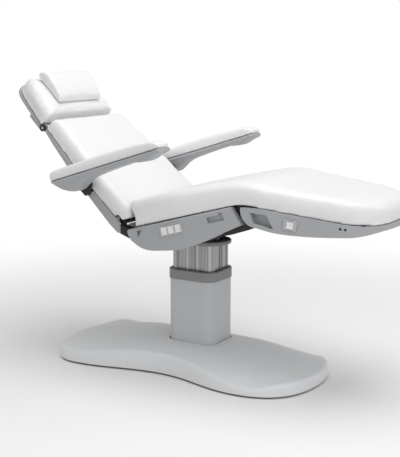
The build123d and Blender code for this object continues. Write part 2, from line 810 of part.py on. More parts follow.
# Seat frame: two tubular rails, cross tubes, the tilt saddle and the rod's plates
tilt_place = seat_side.to_local_coords(Vector(column_x + tilt_x, 0, tilt_z))
rod_place = seat_side.to_local_coords(Vector(column_x + rod_x, 0, rod_eye_z))
saddle_inner = lug_inner + lug_thick + plate_gap
rod_plate_inner = rod_eye_half + plate_gap
with BuildPart() as seat_frame:
    for side in (-1, 1):
        rail_y = side * (rail_inner + rail_outer) / 2
        with BuildSketch(seat_side.offset(-rail_y)):
            box_profile(rail_low, rail_high, rail_start, rail_end)
        extrude(amount=(rail_outer - rail_inner) / 2, both=True)
    with BuildSketch(seat_side):
        for share in cross_share:
            centre = rail_start + share * (rail_end - rail_start)
            start = max(centre - cross_width / 2, rail_start)
            end = min(centre + cross_width / 2, rail_end)
            box_profile(rail_low, rail_high, start, end)
    extrude(amount=rail_inner, both=True)
    for side in (-1, 1):
        with BuildSketch(seat_side.offset(side * (saddle_inner + saddle_plate_thick / 2))):
            with BuildLine():
                Polyline(
                    (rail_start, rail_low), (rail_start + cross_width, rail_low),
                    (tilt_place.X + 2 * tilt_boss_radius + cross_width, rail_low),
                    (tilt_place.X + tilt_boss_radius, tilt_place.Y),
                    (tilt_place.X - tilt_boss_radius, tilt_place.Y),
                    close=True,
                )
            make_face()
            with Locations((tilt_place.X, tilt_place.Y)):
                Circle(tilt_boss_radius)
                Circle(tilt_pin_radius, mode=Mode.SUBTRACT)
        extrude(amount=saddle_plate_thick / 2, both=True)
        with BuildSketch(seat_side.offset(side * (rod_plate_inner + rod_plate_thick / 2))):
            box_profile(rod_place.Y, rail_low, rod_place.X - rod_eye_radius, rod_place.X + rod_eye_radius)
            with Locations((rod_place.X, rod_place.Y)):
                SlotOverall(2 * (rod_eye_radius + rod_slot), 2 * rod_eye_radius, rotation=-seat_slope)
                SlotOverall(
                    2 * (rod_pin_radius + rod_slot + rod_slot_gap),
                    2 * (rod_pin_radius + rod_slot_gap),
                    rotation=-seat_slope,
                    mode=Mode.SUBTRACT,
                )
        extrude(amount=rod_plate_thick / 2, both=True)
    with BuildSketch(top_plane(seat_side, 0, rail_high)):
        with Locations(((rail_start + rod_place.X + cross_width) / 2, 0)):
            Rectangle(rod_place.X + cross_width - rail_start, 2 * (saddle_inner + saddle_plate_thick))
    extrude(amount=rail_low - rail_high)
save(seat_frame, "seat_frame")

# Tilt pin through the saddle and the bracket
with BuildPart() as tilt_pin:
    with BuildSketch(side_plane(column_x + tilt_x, tilt_z, 0)):
        Circle(tilt_pin_radius)
    extrude(amount=saddle_inner + saddle_plate_thick, both=True)
save(tilt_pin, "tilt_pin")

# Tray under the seat: a bent sheet with side flanges, open where the column comes through
tray_points = placed(tray_share, seat_length, cover_drop)
with BuildPart() as seat_tray:
    with BuildSketch(seat_side):
        with BuildLine():
            Polyline(*tray_points, (tray_points[-1][0], rail_low), (tray_points[0][0], rail_low), close=True)
        make_face()
    extrude(amount=tray_half, both=True)
    with BuildSketch(seat_side):
        with BuildLine():
            inner = [(along, up + tray_sheet) for along, up in tray_points]
            inner[0] = (inner[0][0] + tray_sheet, inner[0][1])
            Polyline(
                *inner, (inner[-1][0] + overrun, inner[-1][1]), (inner[-1][0] + overrun, rail_low + overrun),
                (inner[0][0], rail_low + overrun), close=True,
            )
        make_face()
    extrude(amount=tray_half - tray_sheet, both=True, mode=Mode.SUBTRACT)
    with BuildSketch(top_plane(seat_side, 0, -cover_drop - overrun)):
        with Locations(((tray_hole_start + tray_hole_end) / 2, 0)):
            RectangleRounded(tray_hole_end - tray_hole_start, 2 * tray_hole_half, panel_round)
    extrude(amount=cover_drop + rail_low + 2 * overrun, mode=Mode.SUBTRACT)
    with BuildSketch(seat_side):
        with Locations((knee_along, knee_up)):
            Circle(nose_radius + trough_gap + tray_sheet)
    extrude(amount=tray_half, both=True, mode=Mode.SUBTRACT)
save(seat_tray, "seat_tray")

# Knee trough: a curved sheet that the leg rest's nose turns in
with BuildPart() as knee_trough:
    with BuildSketch(seat_side):
        with Locations((knee_along, knee_up)):
            Circle(nose_radius + trough_gap + tray_sheet)
            Circle(nose_radius + trough_gap, mode=Mode.SUBTRACT)
        with BuildLine():
            reach = 2 * nose_radius
            first, last = [
                (knee_along + reach * cos(radians(angle)), knee_up + reach * sin(radians(angle)))
                for angle in (trough_start, trough_end)
            ]
            Polyline(
                (knee_along, knee_up), first, (first[0] - reach, first[1]), (last[0] - reach, last[1]), last,
                close=True,
            )
        make_face(mode=Mode.INTERSECT)
    extrude(amount=trough_half, both=True)
save(knee_trough, "knee_trough")

# Side covers of the seat: a moulded outline with a rounded lower edge, pocketed inside
cover_points = placed(cover_share, seat_length, cover_drop)
panel_mid = ((panel_start + panel_end) / 2, (panel_low + panel_high) / 2)
panel_length = panel_end - panel_start
panel_height = panel_high - panel_low
key_places = [(key_first + number * key_pitch, panel_mid[1]) for number in range(3)]


def side_cover(side, has_panel):
    """One side cover of the seat; side is -1 for the keys' side."""
    with BuildPart(mode=Mode.PRIVATE) as cover:
        outer = seat_side.offset(-side * seat_half)
        inward = side
        with BuildSketch(outer):
            with BuildLine():
                Polyline(*cover_points[:4])
                Spline(*cover_points[3:10], tangents=[(1, -1.2), (1, 0.18)])
                Line(cover_points[9], cover_points[10])
                Line(cover_points[10], cover_points[0])
            make_face()
        extrude(amount=inward * cover_thick)
        low = cover.edges().filter_by(lambda e: abs(abs(e.center().Y) - seat_half) < soft_gap)
        fillet(low.sort_by(SortBy.LENGTH)[-2:-1], cover_round)
        with BuildSketch(seat_side.offset(-side * cover_inner)):
            add(outline_face(drawn_in(cover_points, cover_wall + cover_round / 2), 0))
            for share in (rear_recess_share, front_recess_share):
                add(outline_face(placed(share, seat_length, cover_drop), cover_wall), mode=Mode.SUBTRACT)
            if has_panel:
                with Locations(panel_mid):
                    Rectangle(panel_length, panel_height, mode=Mode.SUBTRACT)
        extrude(amount=-inward * (cover_thick - cover_wall), mode=Mode.SUBTRACT)
        with BuildSketch(outer):
            for share in (rear_recess_share, front_recess_share):
                add(outline_face(placed(share, seat_length, cover_drop), 0))
        extrude(amount=inward * recess_depth, mode=Mode.SUBTRACT)
        if has_panel:
            with BuildSketch(outer):
                with Locations(panel_mid):
                    Rectangle(panel_length - 2 * panel_lip, panel_height - 2 * panel_lip)
            extrude(amount=inward * cover_thick, mode=Mode.SUBTRACT)
    return cover.part


with BuildPart() as seat_cover_right:
    add(side_cover(-1, True))
save(seat_cover_right, "seat_cover_right")
with BuildPart() as seat_cover_left:
    add(side_cover(1, False))
save(seat_cover_left, "seat_cover_left")

# Back hinge brackets: steel plates from the rails' rear ends up to the hinge
bracket_mid = bracket_inner + bracket_thick / 2
with BuildPart() as hinge_brackets:
    for side in (-1, 1):
        with BuildSketch(seat_side.offset(side * bracket_mid)):
            with BuildLine():
                Polyline(
                    (rail_start, rail_low),
                    (rail_start + cross_width, rail_low),
                    (rail_start + cross_width, rail_high),
                    (back_along + hinge_boss - 4 * plate_gap, back_up - hinge_boss - 4 * plate_gap),
                    (back_along, back_up), (back_along - hinge_boss, back_up), close=True,
                )
            make_face()
            with Locations((back_along, back_up)):
                Circle(hinge_boss)
                Circle(hinge_pin_radius + pin_fit, mode=Mode.SUBTRACT)
        extrude(amount=bracket_thick / 2, both=True)
save(hinge_brackets, "hinge_brackets")

# Black plastic covers outside the back hinge brackets
rear_inner = bracket_inner + bracket_thick
with BuildPart() as rear_covers:
    for side in (-1, 1):
        with BuildSketch(seat_side.offset(side * (rear_inner + rear_cover_outer) / 2)):
            with BuildLine():
                Polyline(*placed(rear_cover_share, seat_length, cover_drop), close=True)
            make_face()
        extrude(amount=(rear_cover_outer - rear_inner) / 2, both=True)
save(rear_covers, "rear_covers")

# Knee arms: steel plates from the rails' front ends to the leg rest's hinge
with BuildPart() as knee_arms:
    for side in (-1, 1):
        with BuildSketch(seat_side.offset(side * (arm_inner + arm_thick / 2))):
            box_profile(rail_low, rail_high, rail_end - 2 * cross_width, rail_end)
            with BuildLine():
                Polyline(
                    (rail_end - cross_width, rail_low), (knee_along, knee_up - knee_boss),
                    (knee_along, knee_up + knee_boss), (rail_end - cross_width, rail_high), close=True,
                )
            make_face()
            with Locations((knee_along, knee_up)):
                Circle(knee_boss)
                Circle(knee_pin_radius + pin_fit, mode=Mode.SUBTRACT)
        extrude(amount=arm_thick / 2, both=True)
save(knee_arms, "knee_arms")

# Key panel in the side cover, and its three rocker keys
def key_panel(side, middle, length, height, places, tall):
    """A bezel with a block behind it and a pit for each rocker key, on a side view plane."""
    with BuildPart(mode=Mode.PRIVATE) as panel:
        with BuildSketch(side):
            with Locations(middle):
                RectangleRounded(length, height, panel_round)
        extrude(amount=panel_proud)
        chamfer(panel.faces().sort_by(Axis.Y)[0].edges(), panel_proud / 4)
        with BuildSketch(side):
            with Locations(middle):
                Rectangle(length - 2 * panel_lip, height - 2 * panel_lip)
        extrude(amount=-panel_deep)
        with BuildSketch(side.offset(panel_proud)):
            with Locations(places):
                Rectangle(key_width + 2 * key_gap, tall + 2 * key_swing_gap)
        extrude(amount=-(key_deep + key_swing_gap + overrun), mode=Mode.SUBTRACT)
        for along, up in places:
            at = side.from_local_coords((along, up, panel_proud - key_deep / 2))
            with BuildSketch(Plane(origin=at, x_dir=side.z_dir, z_dir=side.x_dir)):
                Circle(key_pin_radius + pin_fit)
            extrude(amount=key_width / 2 + key_gap + key_pin_reach, both=True, mode=Mode.SUBTRACT)
    return panel.part


def rocker(side, along, up, tall):
    """A rocker key with a hollowed face and its pins, its face level with the bezel's."""
    at = side.from_local_coords((along, up, panel_proud))
    with BuildPart(mode=Mode.PRIVATE) as key:
        with BuildSketch(Plane(origin=at, x_dir=side.z_dir, z_dir=side.x_dir)):
            with BuildLine():
                Polyline((0, -tall / 2), (-key_deep, -tall / 2), (-key_deep, tall / 2), (0, tall / 2))
                RadiusArc((0, tall / 2), (0, -tall / 2), -key_hollow_radius)
            make_face()
        extrude(amount=key_width / 2, both=True)
        with BuildSketch(Plane(origin=at, x_dir=side.z_dir, z_dir=side.x_dir)):
            with Locations((-key_deep / 2, 0)):
                Circle(key_pin_radius)
        extrude(amount=key_width / 2 + key_gap + key_pin_reach, both=True)
    return key.part


seat_panel = seat_side.offset(seat_half)
with BuildPart() as control_panel:
    add(key_panel(seat_panel, panel_mid, panel_length, panel_height, key_places, key_height))
save(control_panel, "control_panel")

for number, (along, up) in enumerate(key_places):
    with BuildPart() as seat_key:
        add(rocker(seat_panel, along, up, key_height))
    save(seat_key, "seat_key_" + str(number + 1))

# Control box of the drives, under the front of the seat frame
with BuildPart() as control_box:
    with BuildSketch(seat_side):
        box_profile(rail_low - control_box_height, rail_low, control_box_start, control_box_end)
    extrude(amount=control_box_width / 2, both=True)
    chamfer(control_box.edges().filter_by(Axis.Y), overrun)
save(control_box, "control_box")

# Seat cushion: its rear end is hollowed about the back hinge
with BuildPart() as seat_cushion:
    add(pad(seat_side, soft_gap, seat_pad_share, seat_length, seat_half, seat_thick))
    hollow_ring = nose_ring + plate_gap
    open_angle = 90 - back_slope - back_raise - seat_slope
    touch = (
        back_along + hollow_ring * cos(radians(open_angle)), back_up + hollow_ring * sin(radians(open_angle))
    )
    reach = 2 * seat_thick
    with BuildSketch(seat_side):
        with Locations((back_along, back_up)):
            Circle(hollow_ring)
        with BuildLine():
            Polyline(
                (back_along, back_up), touch,
                (touch[0] - reach * sin(radians(open_angle)), touch[1] + reach * cos(radians(open_angle))),
                (back_along - reach, touch[1] + reach),
                (back_along - reach, -overrun),
                (back_along, -overrun),
                close=True,
            )
        make_face()
    extrude(amount=seat_half + seat_thick, both=True, mode=Mode.SUBTRACT)
save(seat_cushion, "seat_cushion")

# Soft wedge on the frame that closes the seat below the back cushion's nose
with BuildPart() as seat_wedge:
    with BuildSketch(seat_side):
        with BuildLine():
            ease = radians(wedge_angle)
            rise = (back_up - rail_high) / sin(ease)
            Polyline(
                (wedge_start, rail_high), (back_along + rise * cos(ease), rail_high),
                (back_along + wedge_clear * cos(ease), back_up - wedge_clear * sin(ease)), close=True,
            )
        make_face()
        with Locations((back_along, back_up)):
            Circle(wedge_clear, mode=Mode.SUBTRACT)
    extrude(amount=bracket_inner - plate_gap, both=True)
save(seat_wedge, "seat_wedge")

# Knee cushion between the seat and the leg rest: it bends as the leg rest swings
leg_start = leg_pad_share[0][0] * leg_length
with BuildPart() as knee_cushion:
    seat_end = cross_plane(seat_side, seat_length + soft_gap, soft_gap)
    leg_end = cross_plane(leg_side, leg_start - soft_gap, leg_seam + soft_gap)
    middle_slope = (seat_slope + leg_slope) / 2
    between = (seat_end.origin + leg_end.origin) / 2 + Vector(0, 0, knee_rise)
    knee_side = side_plane(between.X, between.Z, middle_slope)
    for at, wide, rise in (
        (seat_end, seat_half, seat_pad_share[-1][2] * seat_thick),
        (cross_plane(knee_side, 0, 0), seat_half, (seat_pad_share[-1][2] * seat_thick + leg_thick) / 2),
        (leg_end, leg_half * leg_pad_share[0][1], leg_thick),
    ):
        seam, belly, shoulder, turn, top = [(wide + rise * out, rise * level) for out, level in pad_share]
        with BuildSketch(at):
            with BuildLine():
                ThreePointArc(seam, belly, shoulder)
                ThreePointArc(shoulder, turn, top)
                ThreePointArc(top, (0, rise), (-top[0], top[1]))
                ThreePointArc((-top[0], top[1]), (-turn[0], turn[1]), (-shoulder[0], shoulder[1]))
                ThreePointArc((-shoulder[0], shoulder[1]), (-belly[0], belly[1]), (-seam[0], seam[1]))
                Line((-seam[0], seam[1]), seam)
            make_face()
    loft()
save(knee_cushion, "knee_cushion")


# Back cushion: its lower end is a nose about the hinge, its upper end is rounded
with BuildPart() as back_cushion:
    add(pad(back_side, back_seam, back_pad_share, back_length, back_half, back_thick))
    cut_points = placed(nose_cut_share, back_length, back_thick)
    low_end = (cut_points[0][0], back_seam)
    with BuildSketch(back_side.offset(-2 * back_half)):
        with BuildLine():
            Line(low_end, cut_points[1])
            angle = radians(nose_cut_angle)
            ThreePointArc(cut_points[1], (-nose_ring * sin(angle), nose_ring * cos(angle)), (0, nose_ring))
            Polyline(
                (0, nose_ring), (0, 2 * nose_ring), (2 * back_length, 2 * nose_ring),
                (2 * back_length, back_seam), low_end,
            )
        make_face()
    extrude(amount=4 * back_half, mode=Mode.INTERSECT)
    with BuildSketch(back_side):
        Circle(groove_radius)
    extrude(amount=2 * back_half, both=True, mode=Mode.SUBTRACT)
save(back_cushion, "back_cushion")

# Back shell: a moulded panel under the cushion, with its side walls drawn down past the hinge
with BuildPart() as back_shell:
    for along, wide, edge, middle in shell_row_share:
        wide_y = wide * back_half
        with BuildSketch(cross_plane(back_side, along * back_length, back_seam - soft_gap)):
            with BuildLine():
                Line((wide_y, 0), (wide_y, -edge * shell_depth))
                ThreePointArc(
                    (wide_y, -edge * shell_depth), (0, -middle * shell_depth), (-wide_y, -edge * shell_depth)
                )
                Line((-wide_y, -edge * shell_depth), (-wide_y, 0))
                Line((-wide_y, 0), (wide_y, 0))
            make_face()
    loft(ruled=True)
    for side in (-1, 1):
        with BuildSketch(back_side.offset(side * (back_half * shell_row_share[0][1] - shell_side_thick / 2))):
            with Locations((0, back_seam - soft_gap)):
                add(outline_face(placed(shell_side_share, back_length, shell_depth), 0))
        extrude(amount=shell_side_thick / 2, both=True)
    with BuildSketch(back_side):
        with BuildLine():
            Polyline(*placed(shell_pocket_share, back_length, shell_depth), close=True)
        make_face()
    extrude(amount=frame_rail_inner + frame_rail_width + 2 * frame_gap, both=True, mode=Mode.SUBTRACT)
    for side in (-1, 1):
        with BuildSketch(back_side.offset(side * (head_lug_inner + head_lug_thick / 2))):
            box_profile(-shell_depth, 0, head_lug_start - frame_gap, back_length + overrun)
        extrude(amount=head_lug_thick / 2 + frame_gap, both=True, mode=Mode.SUBTRACT)
        with BuildSketch(back_side):
            box_profile(
                back_seam - soft_gap - 2 * frame_gap - frame_rail_thick / 2, 0, head_lug_start - frame_gap,
                head_lug_start + frame_rail_width + frame_gap,
            )
        extrude(amount=head_lug_inner + head_lug_thick, both=True, mode=Mode.SUBTRACT)
        with BuildSketch(back_side.offset(side * (arm_foot_inner + back_half) / 2)):
            box_profile(arm_foot_low - frame_gap, 0, arm_foot_start - frame_gap, arm_foot_end + frame_gap)
        extrude(amount=(back_half - arm_foot_inner) / 2 + overrun, both=True, mode=Mode.SUBTRACT)
save(back_shell, "back_shell")

# Back frame: the hinge tube, two flat rails and cross bars, with the head rest's lugs at the top
shell_top = back_seam - soft_gap
rail_top = shell_top - frame_gap
with BuildPart() as back_frame:
    with BuildSketch(back_side):
        Circle(hinge_tube_radius)
    extrude(amount=bracket_inner - plate_gap, both=True)
    with BuildSketch(back_side):
        Circle(hinge_pin_radius)
    extrude(amount=bracket_inner + bracket_thick, both=True)
    for side in (-1, 1):
        with BuildSketch(back_side.offset(side * (frame_rail_inner + frame_rail_width / 2))):
            box_profile(rail_top - frame_rail_thick, rail_top, 0, frame_rail_end)
        extrude(amount=frame_rail_width / 2, both=True)
        with BuildSketch(back_side.offset(side * (head_lug_inner + head_lug_thick / 2))):
            with BuildLine():
                Polyline(
                    (head_lug_start, rail_top), (head_lug_start, rail_top - frame_rail_thick / 2),
                    (back_length, rail_top - frame_rail_thick), (head_along, head_up - head_boss),
                    (head_along, head_up + head_boss), close=True,
                )
            make_face()
            with Locations((head_along, head_up)):
                Circle(head_boss)
                Circle(head_pin_radius + pin_fit, mode=Mode.SUBTRACT)
        extrude(amount=head_lug_thick / 2, both=True)
    with BuildSketch(back_side):
        for share in frame_cross_share:
            start = share * frame_rail_end
            box_profile(rail_top - frame_rail_thick, rail_top, start, start + frame_rail_width)
    extrude(amount=frame_rail_inner, both=True)
    with BuildSketch(back_side):
        lug_end = head_lug_start + frame_rail_width
        box_profile(rail_top - frame_rail_thick / 2, rail_top, head_lug_start, lug_end)
    extrude(amount=head_lug_inner, both=True)
save(back_frame, "back_frame")

# Arm brackets: a foot across the back frame, a plate beside the cushion and the arm's pin
plate_middle = arm_plate_inner + arm_plate_thick / 2
rail_outside = frame_rail_inner + frame_rail_width
with BuildPart() as arm_brackets:
    for side in (-1, 1):
        with BuildSketch(back_side.offset(side * (rail_outside + arm_plate_inner) / 2)):
            box_profile(arm_foot_low, rail_top, arm_foot_start, arm_foot_end)
        extrude(amount=(arm_plate_inner - rail_outside) / 2, both=True)
        with BuildSketch(back_side.offset(side * plate_middle)):
            box_profile(arm_foot_low, arm_up, arm_foot_start, arm_foot_end)
            with Locations((arm_along, arm_up)):
                Circle(arm_plate_radius)
        extrude(amount=arm_plate_thick / 2, both=True)
        with BuildSketch(arm_side.offset(side * plate_middle)):
            Circle(arm_pin_radius)
        extrude(amount=side * (arm_centre + arm_pin_end - plate_middle))
save(arm_brackets, "arm_brackets")

# Arm rests: a moulded shell on the pin with a padded top
low_points = placed(arm_low_share, arm_length, arm_seam)
for side, hand in ((-1, "right"), (1, "left")):
    middle = arm_side.offset(-side * arm_centre)
    with BuildPart() as arm_shell:
        with BuildSketch(middle):
            with BuildLine():
                Spline(*low_points)
                Polyline(
                    low_points[-1], (arm_start_share * arm_length, arm_seam),
                    (arm_end_share * arm_length, arm_seam), low_points[0],
                )
            make_face()
        extrude(amount=arm_half, both=True)
        with BuildSketch(middle.offset(-side * (arm_pin_end + pin_fit))):
            Circle(arm_pin_radius + pin_fit)
        extrude(amount=side * (arm_pin_end + arm_half + overrun), mode=Mode.SUBTRACT)
    save(arm_shell, "arm_shell_" + hand)
    with BuildPart() as arm_pad:
        pad_up = arm_seam + soft_gap
        add(pad(arm_side, pad_up, arm_pad_share, arm_length, arm_half, arm_thick_pad, side * arm_centre))
    save(arm_pad, "arm_pad_" + hand)

# Head rest: steel ears on the hinge, a thin plate, a cushion and a pillow
ear_top = head_seam - soft_gap - head_plate_thick
ear_low = ear_top - head_ear_thick
with BuildPart() as head_frame:
    for side in (-1, 1):
        ear_middle = side * (head_lug_inner - plate_gap - head_ear_thick / 2)
        with BuildSketch(head_side.offset(ear_middle)):
            Circle(head_boss)
            box_profile(ear_low, ear_top, 0, head_ear_end)
            Circle(head_pin_radius, mode=Mode.SUBTRACT)
        extrude(amount=head_ear_thick / 2, both=True)
    with BuildSketch(head_side):
        box_profile(ear_low, ear_top, head_ear_end - cross_width, head_ear_end)
    extrude(amount=head_lug_inner - plate_gap, both=True)
    for side in (-1, 1):
        with BuildSketch(head_side.offset(side * (head_lug_inner - plate_gap - head_ear_thick))):
            Circle(head_pin_radius)
        extrude(amount=side * (head_ear_thick + plate_gap + head_lug_thick))
save(head_frame, "head_frame")

with BuildPart() as head_plate:
    with BuildSketch(top_plane(head_side, 0, head_seam - soft_gap)):
        edge = placed(head_plan_share, head_length, head_half)
        with BuildLine():
            Line((edge[0][0], -edge[0][1]), edge[0])
            Spline(*edge)
            Line(edge[-1], (edge[-1][0], -edge[-1][1]))
            Spline(*[(x, -y) for x, y in reversed(edge)])
        make_face()
    extrude(amount=-head_plate_thick)
    chamfer(head_plate.faces().sort_by(Axis.Z)[0].edges(), head_plate_thick / 3)
save(head_plate, "head_plate")

with BuildPart() as head_cushion:
    add(pad(head_side, head_seam, head_pad_share, head_length, head_half, head_thick))
    with BuildSketch(head_side):
        Circle(head_relief)
    extrude(amount=head_lug_inner + head_lug_thick + plate_gap, both=True, mode=Mode.SUBTRACT)
save(head_cushion, "head_cushion")

with BuildPart() as pillow:
    pillow_edge = placed(pillow_share, pillow_length, pillow_thick)
    with BuildSketch(head_plane(*point_on(head_side, pillow_along, pillow_up), head_slope)):
        with BuildLine():
            Spline(*pillow_edge)
            Polyline(pillow_edge[-1], (pillow_length - pillow_round, 0), (pillow_round, 0), pillow_edge[0])
        make_face()
    extrude(amount=pillow_half, both=True)
save(pillow, "pillow")

# Leg frame: the hinge tube and pins, two rails and cross bars
with BuildPart() as leg_frame:
    with BuildSketch(leg_side):
        Circle(knee_boss)
    extrude(amount=trough_half, both=True)
    with BuildSketch(leg_side):
        Circle(knee_pin_radius)
    extrude(amount=arm_inner + arm_thick, both=True)
    for side in (-1, 1):
        with BuildSketch(leg_side.offset(side * (leg_rail_inner + leg_rail_width / 2))):
            box_profile(leg_rail_low, leg_rail_high, 0, leg_rail_end)
        extrude(amount=leg_rail_width / 2, both=True)
    with BuildSketch(leg_side):
        for share in frame_cross_share:
            start = share * leg_rail_end
            box_profile(leg_rail_low, leg_rail_high, start, start + cross_width)
    extrude(amount=leg_rail_inner, both=True)
save(leg_frame, "leg_frame")


def leg_plan(inset):
    """Plan outline of the leg shell, drawn in by inset."""
    edge = placed(leg_plan_share, leg_length, leg_half)
    edge = [(along, across - inset) for along, across in edge[:-1]] + [(edge[-1][0] - inset, 0)]
    start = -nose_radius - overrun
    with BuildSketch(mode=Mode.PRIVATE) as plan:
        with BuildLine():
            Line((start, 0), (start, edge[0][1]))
            Line((start, edge[0][1]), edge[0])
            Spline(*edge, tangents=[(1, 0), (0, -1)])
            Line(edge[-1], (start, 0))
        make_face()
        mirror(about=Plane.XZ)
    return plan.sketch


# Plane of the leg rest's key panel, turned with the tapering side
leg_panel_c = cos(radians(leg_panel_turn))
leg_panel_s = sin(radians(leg_panel_turn))
leg_panel_side = Plane(
    origin=leg_side.from_local_coords((leg_panel_along, leg_panel_up, leg_panel_reach)),
    x_dir=leg_side.x_dir * leg_panel_c - leg_side.z_dir * leg_panel_s,
    z_dir=leg_side.x_dir * leg_panel_s + leg_side.z_dir * leg_panel_c,
)

# Leg shell: the side profile cut to the plan outline, with a round nose at the knee
low = placed(leg_low_share, leg_length, nose_radius)
with BuildPart() as leg_shell:
    with BuildSketch(top_plane(leg_side, 0, -2 * nose_radius)):
        add(leg_plan(0))
    extrude(amount=3 * nose_radius)
    with BuildSketch(leg_side.offset(-2 * leg_half)):
        with BuildLine():
            Polyline(
                (leg_length + overrun, low[-1][1]), (leg_length + overrun, leg_seam - soft_gap),
                (leg_start, leg_seam - soft_gap), (-nose_radius, 0),
            )
            arc_low = (-nose_radius * cos(radians(arc_mid)), -nose_radius * sin(radians(arc_mid)))
            ThreePointArc((-nose_radius, 0), arc_low, (0, -nose_radius))
            Spline((0, -nose_radius), *low, tangents=[(1, 0), (1, leg_end_rise)])
            Line(low[-1], (leg_length + overrun, low[-1][1]))
        make_face()
    extrude(amount=4 * leg_half, mode=Mode.INTERSECT)
    # Pocket for the leg frame, open at the top
    with BuildSketch(leg_side):
        add(outline_face(placed(leg_pocket_share, leg_length, nose_radius), 0))
    extrude(amount=leg_rail_inner + leg_rail_width + plate_gap, both=True, mode=Mode.SUBTRACT)
    with BuildSketch(leg_side):
        Circle(knee_boss + 2 * plate_gap)
        box_profile(leg_rail_low - plate_gap, leg_seam, 0, leg_pocket_share[0][0] * leg_length)
    extrude(amount=leg_rail_inner + leg_rail_width + plate_gap, both=True, mode=Mode.SUBTRACT)
    with BuildSketch(leg_side):
        Circle(knee_boss + 2 * plate_gap)
        box_profile(0, leg_seam, -knee_boss - 2 * plate_gap, knee_boss + 2 * plate_gap)
    extrude(amount=trough_half + plate_gap, both=True, mode=Mode.SUBTRACT)
    # Slots for the knee arms, and the relief that the seat tray's front edge turns in
    for side in (-1, 1):
        with BuildSketch(leg_side.offset(side * (leg_slot_inner + leg_relief_half) / 2)):
            Circle(leg_slot_radius)
        extrude(amount=(leg_relief_half - leg_slot_inner) / 2, both=True, mode=Mode.SUBTRACT)
    with BuildSketch(leg_side):
        Circle(leg_relief_reach)
        Circle(nose_radius, mode=Mode.SUBTRACT)
        reach = 2 * leg_relief_reach
        relief = (reach * cos(radians(leg_relief_end)), reach * sin(radians(leg_relief_end)))
        with BuildLine():
            Polyline((0, 0), relief, (reach, -reach), (-reach, -reach), (-reach, 0), close=True)
        make_face(mode=Mode.INTERSECT)
    extrude(amount=leg_relief_half, both=True, mode=Mode.SUBTRACT)
    # Grip recesses, key opening and the two small holes
    for side in (-1, 1):
        with BuildSketch(leg_side.offset(side * leg_half)):
            add(outline_face(placed(grip_share, leg_length, nose_radius), 0))
        extrude(amount=-side * grip_depth, mode=Mode.SUBTRACT)
    with BuildSketch(leg_side.offset(leg_half)):
        for along, up in placed(leg_hole_share, leg_length, nose_radius):
            with Locations((along, up)):
                Circle(leg_hole_radius)
    extrude(amount=-leg_hole_reach, mode=Mode.SUBTRACT)
    with BuildSketch(leg_panel_side.offset(panel_proud)):
        Rectangle(leg_panel_length - 2 * panel_lip, leg_panel_height - 2 * panel_lip)
    extrude(amount=-(panel_proud + panel_deep), mode=Mode.SUBTRACT)
    with BuildSketch(leg_panel_side):
        RectangleRounded(leg_panel_length, leg_panel_height, panel_round)
    extrude(amount=panel_proud, mode=Mode.SUBTRACT)
save(leg_shell, "leg_shell")

# Key panel and rocker key of the leg rest
with BuildPart() as leg_panel:
    add(key_panel(leg_panel_side, (0, 0), leg_panel_length, leg_panel_height, [(0, 0)], leg_key_height))
save(leg_panel, "leg_panel")
with BuildPart() as leg_key:
    add(rocker(leg_panel_side, 0, 0, leg_key_height))
save(leg_key, "leg_key")

# Leg cushion
with BuildPart() as leg_cushion:
    add(pad(leg_side, leg_seam, leg_pad_share, leg_length, leg_half, leg_thick))
save(leg_cushion, "leg_cushion")
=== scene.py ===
import bmesh
import bpy
import math
import numpy as np
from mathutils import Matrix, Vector


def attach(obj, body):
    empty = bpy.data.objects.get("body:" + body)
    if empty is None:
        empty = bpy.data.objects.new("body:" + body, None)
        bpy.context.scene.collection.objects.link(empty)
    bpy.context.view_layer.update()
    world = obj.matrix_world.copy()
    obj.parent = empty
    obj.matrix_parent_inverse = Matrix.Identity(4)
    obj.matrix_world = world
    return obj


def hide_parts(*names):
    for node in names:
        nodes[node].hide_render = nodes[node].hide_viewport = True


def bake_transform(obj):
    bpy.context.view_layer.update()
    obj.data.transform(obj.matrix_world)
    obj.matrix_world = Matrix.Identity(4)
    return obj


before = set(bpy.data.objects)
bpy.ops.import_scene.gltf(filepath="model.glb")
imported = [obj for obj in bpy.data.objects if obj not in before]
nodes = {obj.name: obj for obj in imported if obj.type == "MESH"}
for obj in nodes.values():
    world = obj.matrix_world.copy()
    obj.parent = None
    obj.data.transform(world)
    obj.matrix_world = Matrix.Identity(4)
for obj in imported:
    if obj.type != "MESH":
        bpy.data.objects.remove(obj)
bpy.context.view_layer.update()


# Studio: a camera on a long lens, low on the keys' side of the chair, with one large soft box
# above the chair and one beyond its foot end.
scene = bpy.context.scene
scene.view_settings.view_transform = "Standard"


def stand(name, data, place, target):
    """Puts a camera or lamp on its stand at a place, turned to a target."""
    made = bpy.data.objects.new(name, data)
    made.location = place
    made.rotation_euler = (Vector(target) - Vector(place)).to_track_quat("-Z", "Y").to_euler()
    scene.collection.objects.link(made)
    return made


lens_data = bpy.data.cameras.new("studio_camera")
lens_data.lens = 80.67
lens_data.sensor_width = 36.0
lens_data.clip_end = 100.0
camera_place = (2.0654, -3.4576, 1.3012)
camera_target = (-0.0203, 0.0, 0.5674)
scene.camera = stand("studio_camera", lens_data, camera_place, camera_target)


def soft_box(name, place, target, size, power):
    """A square area lamp, size metres wide and power watts."""
    data = bpy.data.lights.new(name, "AREA")
    data.shape = "SQUARE"
    data.size = size
    data.energy = power
    stand(name, data, place, target)


soft_box("top_box", place=(0.5, -0.2, 3.7), target=(0.0, 0.0, 0.6), size=2.8, power=68.0)
soft_box("foot_box", place=(3.3, -1.7, 2.5), target=(0.1, 0.0, 0.5), size=2.4, power=27.0)


